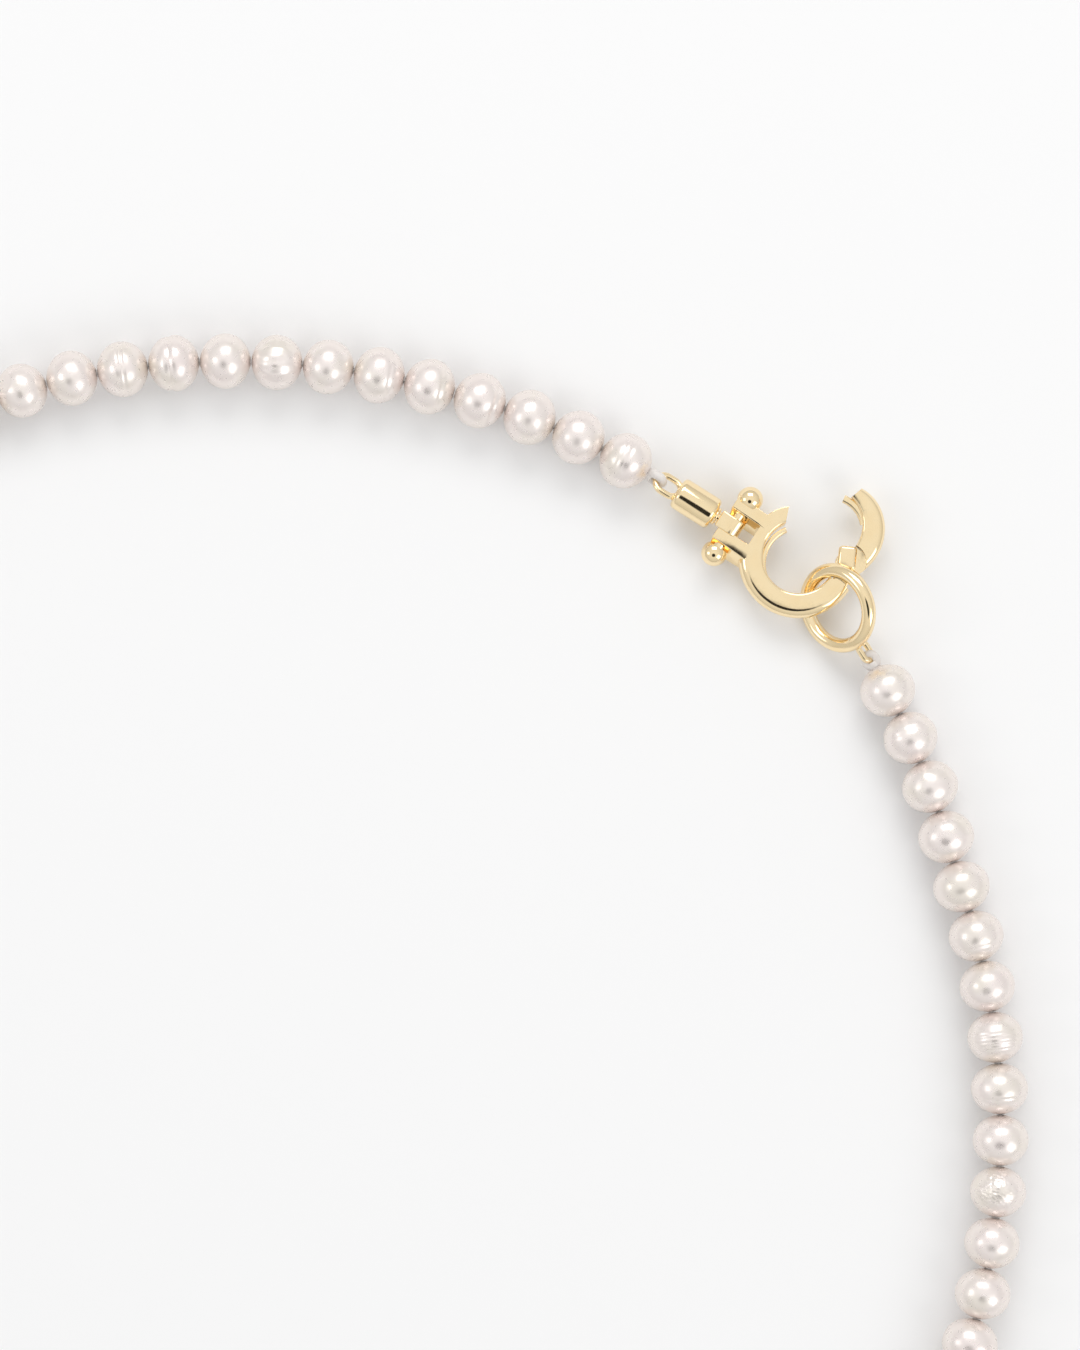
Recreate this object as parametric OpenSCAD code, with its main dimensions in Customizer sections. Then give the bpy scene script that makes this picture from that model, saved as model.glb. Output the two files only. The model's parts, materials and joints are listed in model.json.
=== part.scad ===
// Closed pearl necklace laid out flat: drilled pearls on beading thread, joined by a swivel
// hook clasp with a hinged gate and a linked ring.  All sizes in millimetres.
// X and Y lie in the table plane, Z points up, the origin is the middle of the loop.

/* [Strand] */
// Radius of the circle the drill axes follow
loop_r = 66.75; // [55:0.05:80]
// Width of a pearl across its drill axis
pearl_d = 4.9; // [4.2:0.05:5.6]
// Gap left between neighbouring pearls
pearl_gap = 0.08; // [0.05:0.01:0.2]
// Gap between pearls where the strand folds upwards
fold_gap = 0.22; // [0.15:0.01:0.5]
// Diameter of the hole drilled through each pearl
drill_d = 0.7; // [0.5:0.05:1]
// Thickness of the doubled beading thread
thread_d = 0.44; // [0.3:0.02:0.6]
// Angle round the loop where the strand left of the clasp starts to bend
left_turn = 73.25; // [65:0.05:85]
// Angle round the loop where the strand right of the clasp starts
right_turn = 35.71; // [30:0.05:45]
// Extra radius where the ring pulls the strand outwards
pull_out = 2.0; // [0:0.1:4]

/* [Clasp] */
// Height of the clasp's middle above the table
mid_z = 2.48; // [2.2:0.02:3]
// Middle of the clevis pin, across
pin_x = 43.4; // [35:0.1:55]
// Middle of the clevis pin, up
pin_y = 52.37; // [40:0.1:60]
// Direction of the swivel barrel
barrel_turn = -32.3; // [-40:0.1:-20]
// Outer radius of the hook's round
hook_r = 5.225; // [4.5:0.025:6]
// Width of the hook's bar seen from above
bar_w = 2.1; // [1.6:0.05:2.6]
// Thickness of the hook's bar
bar_t = 1.4; // [1.2:0.05:2.2]
// Angle the gate stands open
gate_open = 56; // [0:1:80]
// Diameter of the gate's hinge rivet
rivet_d = 0.7; // [0.5:0.05:1]
// Diameter of the clevis pin
pin_d = 1.0; // [0.8:0.05:1.2]
// Diameter of the pin's domed ends
dome_d = 2.26; // [1.8:0.02:2.6]
// Space between the clevis ears
ear_gap = 1.9; // [1.6:0.05:2.4]
// Width of one clevis ear
ear_w = 1.2; // [0.9:0.05:1.5]
// Outside diameter of the swivel barrel
barrel_d = 2.9; // [2.4:0.05:3.4]
// Length of the swivel barrel
barrel_l = 3.84; // [3:0.02:4.5]
// Thickness of the clevis ears
ear_t = 1.7; // [1.5:0.05:2.2]
// Distance from the pin to the barrel's near face
barrel_off = 1.81; // [1.6:0.01:2.4]
// Distance from the pin to the first pearl of the strand
strand_off = 8.6; // [8.4:0.05:10]

/* [Ring] */
// Middle radius of the linked ring
ring_r = 3.362; // [3:0.002:4]
// Thickness of the ring's wire
ring_wire = 1.25; // [1:0.01:1.5]
// Lift of the ring's plane above the table
ring_tilt = 42.94; // [30:0.02:55]
// Direction in which the ring's plane rises
ring_rise = 19.59; // [0:0.01:40]
// Running clearance of pins and swivels, on the radius
fit = 0.04; // [0.02:0.01:0.08]

/* [Hidden] */
gold = [0.86, 0.68, 0.34];
nacre = [0.93, 0.88, 0.83];
silk = [0.9, 0.88, 0.85];
arc_count = 37;
turn_step = (right_turn + 180 - left_turn) / arc_count;
base_step = (left_turn - right_turn) / 10;
first_base = right_turn + 180;
fold_a = first_base + 7 * base_step;
fold_b = first_base + 9 * base_step;
gap_counts = [0, 4, 8, 12, 16, 21, 25, 29, 33, 37];
function on_loop(turn, out = 0) = [(loop_r + out) * cos(turn), (loop_r + out) * sin(turn)];
function left_joint(i) = on_loop(left_turn + gap_counts[i] * turn_step, i == 9 ? pull_out : 0);
function right_joint(i) = -left_joint(9 - i);
barrel_dir = [cos(barrel_turn), sin(barrel_turn)];
pin_at = [pin_x, pin_y];
strand_start = pin_at - strand_off * barrel_dir;
fold_point = on_loop(fold_a);
fold_turn = atan2(pin_y - fold_point.y, pin_x - fold_point.x);
clasp_turn = fold_turn - 90;
hook_c = [6.32, 0.93];
bar_r = hook_r - bar_w / 2;
gate_turn = 28.1;
gate_at = hook_c + bar_r * [cos(gate_turn), sin(gate_turn)];
ear_mid = (ear_gap + ear_w) / 2;
ring_at = [52.555, 45.289];
ring_z = mid_z + 0.515;
stem_r = 0.55;
head_r = 0.95;
wall_in_r = 1.12;
eye_r = 0.9;
eye_wire_r = 0.275;
bar_round = 0.5;
tab_w = 1.45;
tab_h = 0.56;
tab_round = 0.25;
knuckle_r = 0.72;
knuckle_room = 1.3;
hinge_gap = 0.02;
horn_turn = 133;
horn_root = [2.26, 2.8];
horn_tip = [3.2, 3.95];
horn_side = 50.7;
horn_end = -67.3;
bar_end = 360;
gate_end = 126;
ear_len = 2.7;
slot_end = 2.15;
dome_sink = 0.62;
barrel_round = 0.4;
barrel_cap = 0.5;
eye_lean = 40;
left_bind = 0.62;
right_bind = 0.5;
thread_trim = 0.07;
bail_r = 0.78;
bail_wire = 0.5;
bail_at = 1.45;
bail_neck = 2.3;
degree = PI / 180;

// ---- shared shapes ----

// rounded bar section, centred
module bar_section(w, h, r) {
  square([w, h - 2 * r], center = true);
  square([w - 2 * r, h], center = true);
  for (x = [-1, 1])
    for (y = [-1, 1])
      translate([x * (w / 2 - r), y * (h / 2 - r)])
        circle(r = r, $fn = 24);
}

// ring of round wire lying in the XY plane
module wire_ring(r, wire) {
  rotate_extrude($fn = 64)
    translate([r, 0])
      circle(d = wire, $fn = 24);
}

// one drilled pearl with its drill axis along Z
module pearl(len, across) {
  half = len / 2;
  out = across / 2 - half;
  rotate_extrude($fn = 40)
    intersection() {
      translate([out, 0])
        circle(r = half, $fn = 40);
      translate([drill_d / 2, -half])
        square([across, 2 * half]);
    }
}

// middle of the loop-radius arc that joins two points of the strand
function arc_mid(a, b) =
  let (m = (a + b) / 2, d = b - a, h = norm(d) / 2, q = sqrt(loop_r * loop_r - h * h),
       n = [-d.y, d.x] / norm(d), s = n * m > 0 ? -1 : 1)
  m + s * q * n;
function short_turn(t) = t > 180 ? t - 360 : t < -180 ? t + 360 : t;
function turn_of(p, c) = atan2(p.y - c.y, p.x - c.x);

// the pearls of one length of strand, from a to b
module run_pearls(a, b, count, seed, tight_last = false, tight_first = false) {
  c = arc_mid(a, b);
  start = turn_of(a, c);
  sweep = short_turn(turn_of(b, c) - start);
  pitch = 2 * loop_r * sin(abs(sweep) / count / 2);
  for (i = [0 : count - 1]) {
    tight = (tight_last && i == count - 1) || (tight_first && i == 0);
    len = pitch - (tight ? fold_gap : pearl_gap);
    wide = pearl_d * (1 + 0.012 * sin(137 * (seed + i)));
    turn = start + sweep * (i + 0.5) / count;
    translate([c.x + loop_r * cos(turn), c.y + loop_r * sin(turn), mid_z])
      rotate([90, 0, turn])
        pearl(len, tight ? len + 0.24 : wide);
  }
}

// the thread inside one length of strand, stopping just short of both joints
module run_thread(a, b) {
  c = arc_mid(a, b);
  start = turn_of(a, c);
  sweep = short_turn(turn_of(b, c) - start);
  cut = thread_trim / loop_r / degree;
  low = min(start, start + sweep) + cut;
  translate([c.x, c.y, mid_z])
    rotate([0, 0, low])
      rotate_extrude(angle = abs(sweep) - 2 * cut, $fn = 720)
        translate([loop_r, 0])
          circle(d = thread_d, $fn = 16);
}

// clasp frame: X towards the hook, Y along the clevis pin
module clasp_frame() {
  translate([pin_x, pin_y, mid_z])
    rotate([0, 0, clasp_turn])
      children();
}

// barrel frame: X from the pin back towards the strand
module barrel_frame() {
  translate([pin_x, pin_y, mid_z])
    rotate([0, 0, barrel_turn + 180])
      children();
}

// arc of the hook's bar between two turns, about the hook's middle
module bar_arc(from, to, w = bar_w, h = bar_t, r = bar_round, lift = 0) {
  translate([hook_c.x, hook_c.y, lift])
    rotate([0, 0, from])
      rotate_extrude(angle = to - from, $fn = 120)
        translate([bar_r, 0])
          bar_section(w, h, r);
}

// ---- clasp ----

module clasp_hook() {
  color(gold)
    clasp_frame()
      difference() {
        union() {
          bar_arc(horn_turn, bar_end);
          bar_arc(bar_end - 5, 360 + gate_turn, tab_w, tab_h, tab_round, tab_h / 2);
          translate([gate_at.x, gate_at.y, 0])
            cylinder(r = knuckle_r, h = tab_h, $fn = 32);
          for (s = [-1, 1])
            translate([0, s * ear_mid - ear_w / 2, -ear_t / 2])
              cube([ear_len, ear_w, ear_t]);
          for (s = [-1, 1])
            translate([0, s * ear_mid, 0])
              rotate([90, 0, 0])
                cylinder(d = ear_t, h = ear_w, center = true, $fn = 32);
        }
        translate([horn_root.x, horn_root.y, -2])
          rotate([0, 0, horn_side])
            cube([4, 3, 4]);
        translate([horn_tip.x, horn_tip.y, -2])
          rotate([0, 0, horn_end])
            translate([-1.5, 0, 0])
              cube([3.2, 3, 4]);
        translate([slot_end - 4, -ear_gap / 2, -2])
          cube([4, ear_gap, 4]);
        rotate([90, 0, 0])
          cylinder(r = pin_d / 2 + fit, h = 8, center = true, $fn = 32);
        translate([gate_at.x, gate_at.y, -2])
          cylinder(r = rivet_d / 2 + fit, h = 4, $fn = 32);
      }
}

module clevis_pin() {
  reach = ear_gap / 2 + ear_w + 0.04;
  color(gold)
    clasp_frame() {
      rotate([90, 0, 0])
        cylinder(d = pin_d, h = 2 * reach + 0.8, center = true, $fn = 32);
      for (s = [-1, 1])
        intersection() {
          translate([0, s * (reach + dome_sink), 0])
            sphere(d = dome_d, $fn = 40);
          translate([-3, s > 0 ? reach : -reach - 4, -3])
            cube([6, 4, 6]);
        }
    }
}

module gate_rivet() {
  color(gold)
    clasp_frame()
      translate([gate_at.x, gate_at.y, -bar_t / 2 + hinge_gap])
        cylinder(d = rivet_d, h = bar_t / 2 + tab_h - 2 * hinge_gap, $fn = 32);
}

module clasp_gate() {
  color(gold)
    clasp_frame()
      translate([gate_at.x, gate_at.y, 0])
        rotate([0, 0, -gate_open])
          translate([-gate_at.x, -gate_at.y, 0])
            difference() {
              union() {
                difference() {
                  bar_arc(gate_turn, gate_end);
                  translate([gate_at.x, gate_at.y, -hinge_gap])
                    cylinder(r = knuckle_room, h = 3, $fn = 40);
                }
                translate([gate_at.x, gate_at.y, -bar_t / 2])
                  cylinder(r = bar_w / 2 - 0.1, h = bar_t / 2 - hinge_gap, $fn = 40);
              }
              translate([gate_at.x, gate_at.y, -2])
                cylinder(r = rivet_d / 2 + fit, h = 4, $fn = 32);
            }
}

module swivel_tongue() {
  color(gold)
    difference() {
      union() {
        clasp_frame()
          rotate([90, 0, 0])
            cylinder(r = 0.95, h = ear_gap - 0.3, center = true, $fn = 40);
        barrel_frame()
          rotate([0, 90, 0])
            cylinder(r = stem_r, h = barrel_off + 0.9, $fn = 32);
        barrel_frame()
          translate([barrel_off + 0.56, 0, 0])
            rotate([0, 90, 0])
              cylinder(r = head_r, h = 0.5, $fn = 32);
      }
      clasp_frame()
        rotate([90, 0, 0])
          cylinder(r = pin_d / 2 + fit, h = 4, center = true, $fn = 32);
    }
}

module swivel_barrel() {
  r = barrel_d / 2;
  color(gold)
    barrel_frame()
      translate([barrel_off, 0, 0])
        rotate([0, 90, 0])
          rotate_extrude($fn = 48)
            difference() {
              union() {
                square([r - barrel_round, barrel_l]);
                translate([0, barrel_round])
                  square([r, barrel_l - 2 * barrel_round]);
                translate([r - barrel_round, barrel_round])
                  circle(r = barrel_round, $fn = 24);
                translate([r - barrel_round, barrel_l - barrel_round])
                  circle(r = barrel_round, $fn = 24);
              }
              translate([-1, -1])
                square([stem_r + fit + 1, 9]);
              translate([-1, barrel_cap])
                square([wall_in_r + 1, barrel_l]);
            }
}

module strand_eye() {
  color(gold)
    barrel_frame() {
      translate([barrel_off + barrel_l - 1.1, 0, 0])
        rotate([0, 90, 0])
          cylinder(r = wall_in_r - 0.02, h = 1.08, $fn = 32);
      translate([barrel_off + barrel_l + eye_r - 0.08, 0, 0])
        rotate([eye_lean, 0, 0])
          wire_ring(eye_r, 2 * eye_wire_r);
    }
}

module thread_loop_left() {
  far = barrel_off + barrel_l + 2 * eye_r - 0.08;
  color(silk)
    barrel_frame() {
      translate([far + 0.1, 0, 0])
        rotate([-50, 0, 0])
          wire_ring(left_bind, thread_d - 0.1);
      translate([far + left_bind, 0, 0])
        rotate([0, 90, 0])
          cylinder(d = thread_d, h = strand_off - far - left_bind - thread_trim, $fn = 16);
    }
}

// ---- ring side ----

module linked_ring() {
  color(gold)
    translate([ring_at.x, ring_at.y, ring_z])
      rotate([0, 0, ring_rise])
        rotate([0, -ring_tilt, 0])
          wire_ring(ring_r, ring_wire);
}

right_start = right_joint(0);
bail_dir = (right_start - ring_at) / norm(right_start - ring_at);
bail_turn = atan2(bail_dir.y, bail_dir.x);
bail_len = norm(right_start - ring_at);

module bail_frame() {
  translate([right_start.x, right_start.y, mid_z])
    rotate([0, 0, bail_turn + 180])
      children();
}

module ring_bail() {
  color(gold)
    bail_frame() {
      translate([bail_at, 0, 0])
        rotate([75, 0, 0])
          wire_ring(bail_r, bail_wire);
      translate([bail_neck, 0, 0.05])
        rotate([0, 90, 0])
          cylinder(r = 0.55, h = bail_len - ring_r - bail_neck + 0.2, $fn = 24);
    }
}

module thread_loop_right() {
  color(silk)
    bail_frame() {
      translate([0.72, 0, 0])
        rotate([-15, 0, 0])
          wire_ring(right_bind, thread_d - 0.12);
      translate([thread_trim, 0, 0])
        rotate([0, 90, 0])
          cylinder(d = thread_d, h = 0.15, $fn = 16);
    }
}

// ---- strands ----

module pearls_clasp_side() {
  color(nacre)
    run_pearls(strand_start, left_joint(0), 4, 1);
}

module thread_clasp_side() {
  color(silk)
    run_thread(strand_start, left_joint(0));
}

module pearls_left_1() {
  color(nacre)
    run_pearls(left_joint(0), left_joint(1), 4, 5);
}

module thread_left_1() {
  color(silk)
    run_thread(left_joint(0), left_joint(1));
}

module pearls_left_2() {
  color(nacre)
    run_pearls(left_joint(1), left_joint(2), 4, 10);
}

module thread_left_2() {
  color(silk)
    run_thread(left_joint(1), left_joint(2));
}

module pearls_left_3() {
  color(nacre)
    run_pearls(left_joint(2), left_joint(3), 4, 15);
}

module thread_left_3() {
  color(silk)
    run_thread(left_joint(2), left_joint(3));
}

module pearls_left_4() {
  color(nacre)
    run_pearls(left_joint(3), left_joint(4), 4, 20);
}

module thread_left_4() {
  color(silk)
    run_thread(left_joint(3), left_joint(4));
}

module pearls_left_5() {
  color(nacre)
    run_pearls(left_joint(4), left_joint(5), 5, 25);
}

module thread_left_5() {
  color(silk)
    run_thread(left_joint(4), left_joint(5));
}

module pearls_left_6() {
  color(nacre)
    run_pearls(left_joint(5), left_joint(6), 4, 30);
}

module thread_left_6() {
  color(silk)
    run_thread(left_joint(5), left_joint(6));
}

module pearls_left_7() {
  color(nacre)
    run_pearls(left_joint(6), left_joint(7), 4, 35);
}

module thread_left_7() {
  color(silk)
    run_thread(left_joint(6), left_joint(7));
}

module pearls_left_8() {
  color(nacre)
    run_pearls(left_joint(7), left_joint(8), 4, 40);
}

module thread_left_8() {
  color(silk)
    run_thread(left_joint(7), left_joint(8));
}

module pearls_left_9() {
  color(nacre)
    run_pearls(left_joint(8), left_joint(9), 4, 45);
}

module thread_left_9() {
  color(silk)
    run_thread(left_joint(8), left_joint(9));
}

module pearls_back_left() {
  color(nacre)
    run_pearls(left_joint(9), on_loop(fold_a), 7, 60, tight_last = true);
}

module thread_back_left() {
  color(silk)
    run_thread(left_joint(9), on_loop(fold_a));
}

module pearls_back_middle() {
  color(nacre)
    run_pearls(on_loop(fold_a), on_loop(fold_b), 2, 70, tight_last = true, tight_first = true);
}

module thread_back_middle() {
  color(silk)
    run_thread(on_loop(fold_a), on_loop(fold_b));
}

module pearls_right_1() {
  color(nacre)
    run_pearls(right_joint(0), right_joint(1), 4, 80);
}

module thread_right_1() {
  color(silk)
    run_thread(right_joint(0), right_joint(1));
}

module pearls_right_2() {
  color(nacre)
    run_pearls(right_joint(1), right_joint(2), 4, 85);
}

module thread_right_2() {
  color(silk)
    run_thread(right_joint(1), right_joint(2));
}

module pearls_right_3() {
  color(nacre)
    run_pearls(right_joint(2), right_joint(3), 4, 90);
}

module thread_right_3() {
  color(silk)
    run_thread(right_joint(2), right_joint(3));
}

module pearls_right_4() {
  color(nacre)
    run_pearls(right_joint(3), right_joint(4), 4, 95);
}

module thread_right_4() {
  color(silk)
    run_thread(right_joint(3), right_joint(4));
}

module pearls_right_5() {
  color(nacre)
    run_pearls(right_joint(4), right_joint(5), 5, 100);
}

module thread_right_5() {
  color(silk)
    run_thread(right_joint(4), right_joint(5));
}

module pearls_right_6() {
  color(nacre)
    run_pearls(right_joint(5), right_joint(6), 4, 105);
}

module thread_right_6() {
  color(silk)
    run_thread(right_joint(5), right_joint(6));
}

module pearls_right_7() {
  color(nacre)
    run_pearls(right_joint(6), right_joint(7), 4, 110);
}

module thread_right_7() {
  color(silk)
    run_thread(right_joint(6), right_joint(7));
}

module pearls_right_8() {
  color(nacre)
    run_pearls(right_joint(7), right_joint(8), 4, 115);
}

module thread_right_8() {
  color(silk)
    run_thread(right_joint(7), right_joint(8));
}

module pearls_right_9() {
  color(nacre)
    run_pearls(right_joint(8), right_joint(9), 4, 120);
}

module thread_right_9() {
  color(silk)
    run_thread(right_joint(8), right_joint(9));
}

module pearls_back_right() {
  color(nacre)
    run_pearls(on_loop(fold_b), right_joint(9), 1, 130, tight_last = true);
}

module thread_back_right() {
  color(silk)
    run_thread(on_loop(fold_b), right_joint(9));
}

// ---- drawn pieces ----

clasp_hook();
clevis_pin();
gate_rivet();
clasp_gate();
swivel_tongue();
swivel_barrel();
strand_eye();
thread_loop_left();
linked_ring();
ring_bail();
thread_loop_right();
pearls_clasp_side();
thread_clasp_side();
pearls_left_1();
thread_left_1();
pearls_left_2();
thread_left_2();
pearls_left_3();
thread_left_3();
pearls_left_4();
thread_left_4();
pearls_left_5();
thread_left_5();
pearls_left_6();
thread_left_6();
pearls_left_7();
thread_left_7();
pearls_left_8();
thread_left_8();
pearls_left_9();
thread_left_9();
pearls_back_left();
thread_back_left();
pearls_back_middle();
thread_back_middle();
pearls_right_1();
thread_right_1();
pearls_right_2();
thread_right_2();
pearls_right_3();
thread_right_3();
pearls_right_4();
thread_right_4();
pearls_right_5();
thread_right_5();
pearls_right_6();
thread_right_6();
pearls_right_7();
thread_right_7();
pearls_right_8();
thread_right_8();
pearls_right_9();
thread_right_9();
pearls_back_right();
thread_back_right();
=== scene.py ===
"""Looks of a clasped pearl necklace: nacre pearls, beading thread and a polished gold swivel clasp."""
import json
import logging
import math
from dataclasses import dataclass, field
from enum import Enum
from typing import Callable

import bmesh
import bpy
import numpy as np
from mathutils import Matrix, Vector, noise


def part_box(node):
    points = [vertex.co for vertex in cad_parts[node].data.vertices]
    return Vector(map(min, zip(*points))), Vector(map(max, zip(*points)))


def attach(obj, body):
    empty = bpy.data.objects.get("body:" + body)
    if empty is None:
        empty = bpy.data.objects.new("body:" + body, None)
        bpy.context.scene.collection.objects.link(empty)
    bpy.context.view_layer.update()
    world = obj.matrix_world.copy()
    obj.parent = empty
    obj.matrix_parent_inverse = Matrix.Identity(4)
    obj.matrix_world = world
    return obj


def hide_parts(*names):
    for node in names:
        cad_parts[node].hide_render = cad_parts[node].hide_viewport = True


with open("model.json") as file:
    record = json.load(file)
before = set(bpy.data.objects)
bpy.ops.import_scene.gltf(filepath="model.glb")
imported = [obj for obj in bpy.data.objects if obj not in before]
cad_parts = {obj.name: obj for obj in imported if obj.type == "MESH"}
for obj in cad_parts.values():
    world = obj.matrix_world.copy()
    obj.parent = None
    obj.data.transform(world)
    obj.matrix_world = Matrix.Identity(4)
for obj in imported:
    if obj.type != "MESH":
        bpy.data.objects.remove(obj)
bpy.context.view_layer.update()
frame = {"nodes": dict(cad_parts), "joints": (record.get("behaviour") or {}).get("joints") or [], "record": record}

LOG = logging.getLogger("necklace")
MM = 0.001
FULL_TURN = 2 * math.pi
Test = Callable[[Vector], bool]
Mover = Callable[[Vector], Vector]


# ---- small helpers ----

def linear(hex_colour: str) -> tuple[float, float, float, float]:
    """Turns an sRGB hex colour into a linear RGBA value.

    Args:
        hex_colour: Six hex digits, such as "F4DFA8".

    Returns:
        The linear red, green, blue and an alpha of 1.
    """
    parts = [int(hex_colour[i:i + 2], 16) / 255 for i in (0, 2, 4)]
    made = [c / 12.92 if c <= 0.04045 else ((c + 0.055) / 1.055) ** 2.4 for c in parts]
    return (made[0], made[1], made[2], 1.0)


def add_node(tree: bpy.types.NodeTree, kind: str, settings: dict, links: dict) -> bpy.types.Node:
    """Adds one node, sets its properties and sockets, and links its inputs.

    Args:
        tree: The node tree to add to.
        kind: The node's Blender type name.
        settings: Properties by name, or input sockets by name or number.
        links: Input sockets by name or number, each with the output that feeds it.

    Returns:
        The new node.
    """
    node = tree.nodes.new(kind)
    for name, value in settings.items():
        if isinstance(name, str) and hasattr(node, name):
            setattr(node, name, value)
        else:
            node.inputs[name].default_value = value
    for name, output in links.items():
        tree.links.new(output, node.inputs[name])
    return node


def deselect() -> None:
    """Leaves edit mode and clears the selection."""
    if bpy.context.object and bpy.context.object.mode != "OBJECT":
        bpy.ops.object.mode_set(mode="OBJECT")
    bpy.ops.object.select_all(action="DESELECT")


def pick(piece: bpy.types.Object, test: Test, kind: str = "VERT") -> None:
    """Selects the vertices, edges or faces of a piece whose middle passes a test.

    Args:
        piece: The active mesh object, in edit mode.
        test: Takes a middle point and says whether to select it.
        kind: VERT, EDGE or FACE.
    """
    bpy.ops.mesh.select_mode(type=kind)
    bpy.ops.mesh.select_all(action="DESELECT")
    mesh = bmesh.from_edit_mesh(piece.data)
    if kind == "VERT":
        for vert in mesh.verts:
            vert.select_set(test(vert.co))
    elif kind == "EDGE":
        for edge in mesh.edges:
            edge.select_set(test((edge.verts[0].co + edge.verts[1].co) / 2))
    else:
        for face in mesh.faces:
            face.select_set(test(face.calc_center_median()))
    mesh.select_flush_mode()
    bmesh.update_edit_mesh(piece.data)


def edit(piece: bpy.types.Object) -> None:
    """Makes a piece active and enters its edit mode with all of it selected."""
    deselect()
    piece.select_set(True)
    bpy.context.view_layer.objects.active = piece
    bpy.ops.object.mode_set(mode="EDIT")
    bpy.ops.mesh.select_all(action="SELECT")


def close_up(piece: bpy.types.Object, doubles: float = 0.002) -> None:
    """Merges doubles and turns the faces outwards, then leaves edit mode."""
    bpy.ops.mesh.select_mode(type="VERT")
    bpy.ops.mesh.select_all(action="SELECT")
    bpy.ops.mesh.remove_doubles(threshold=doubles)
    bpy.ops.mesh.normals_make_consistent(inside=False)
    bpy.ops.object.mode_set(mode="OBJECT")


def apply_modifier(piece: bpy.types.Object, kind: str, **settings: object) -> None:
    """Adds a modifier to a piece with its settings and applies it."""
    deselect()
    piece.select_set(True)
    bpy.context.view_layer.objects.active = piece
    made = piece.modifiers.new(kind.lower(), kind)
    for name, value in settings.items():
        setattr(made, name, value)
    bpy.ops.object.modifier_apply(modifier=made.name)


def unite(piece: bpy.types.Object, other: bpy.types.Object, how: str = "UNION") -> None:
    """Joins another solid to a piece, or cuts it away, and removes the other."""
    apply_modifier(piece, "BOOLEAN", object=other, operation=how, solver="EXACT")
    bpy.data.objects.remove(other)


def freeze(piece: bpy.types.Object) -> None:
    """Puts an object's place, turn and size into its mesh."""
    deselect()
    piece.select_set(True)
    bpy.context.view_layer.objects.active = piece
    bpy.ops.object.transform_apply(location=True, rotation=True, scale=True)


def smooth(piece: bpy.types.Object, degrees: float = 40) -> None:
    """Shades a piece smooth, apart from its edges sharper than an angle."""
    deselect()
    piece.select_set(True)
    bpy.context.view_layer.objects.active = piece
    bpy.ops.object.shade_smooth_by_angle(angle=math.radians(degrees))


def move_points(piece: bpy.types.Object, mover: Mover) -> None:
    """Moves every vertex of a piece by a rule, as a sculpting stroke would."""
    for vert in piece.data.vertices:
        vert.co = mover(vert.co)
    piece.data.update()


def bump_between(value: float, low: float, high: float) -> float:
    """Returns a smooth rise from 0 at low to 1 at high."""
    t = min(max((value - low) / (high - low), 0.0), 1.0)
    return t * t * (3 - 2 * t)


# ---- finishes ----

@dataclass(frozen=True)
class PolishedGold:
    """18-carat yellow gold, cast and tumble polished: mirror bright with a faint orange-peel swell."""

    colour: str = "FFEBC2"
    warm: str = "FCE2B2"
    roughness: float = 0.09
    swell_mm: float = 1.6
    scratch_mm: float = 0.25

    def make(self) -> bpy.types.Material:
        """Builds the node material and returns it."""
        material = bpy.data.materials.new("polished_gold")
        material.use_nodes = True
        tree = material.node_tree
        shader = tree.nodes["Principled BSDF"]
        shader.inputs["Metallic"].default_value = 1.0
        place = add_node(tree, "ShaderNodeTexCoord", {}, {}).outputs["Object"]
        swell = add_node(tree, "ShaderNodeTexNoise", {"Scale": 1 / (self.swell_mm * MM), "Detail": 2.0},
                         {"Vector": place})
        scratch = add_node(tree, "ShaderNodeTexNoise", {"Scale": 1 / (self.scratch_mm * MM), "Detail": 4.0},
                           {"Vector": place})
        colour = add_node(tree, "ShaderNodeMix", {"data_type": "RGBA"}, {0: swell.outputs["Fac"]})
        colour.inputs[6].default_value = linear(self.warm)
        colour.inputs[7].default_value = linear(self.colour)
        tree.links.new(colour.outputs[2], shader.inputs["Base Color"])
        rough = add_node(tree, "ShaderNodeMapRange",
                         {"From Min": 0.35, "From Max": 0.7, "To Min": self.roughness * 0.7,
                          "To Max": self.roughness * 1.5}, {"Value": scratch.outputs["Fac"]})
        tree.links.new(rough.outputs["Result"], shader.inputs["Roughness"])
        bump = add_node(tree, "ShaderNodeBump", {"Strength": 0.05, "Distance": 0.01 * MM},
                        {"Height": scratch.outputs["Fac"]})
        soft = add_node(tree, "ShaderNodeBump", {"Strength": 0.25, "Distance": 0.05 * MM},
                        {"Height": swell.outputs["Fac"], "Normal": bump.outputs["Normal"]})
        tree.links.new(soft.outputs["Normal"], shader.inputs["Normal"])
        return material


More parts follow.
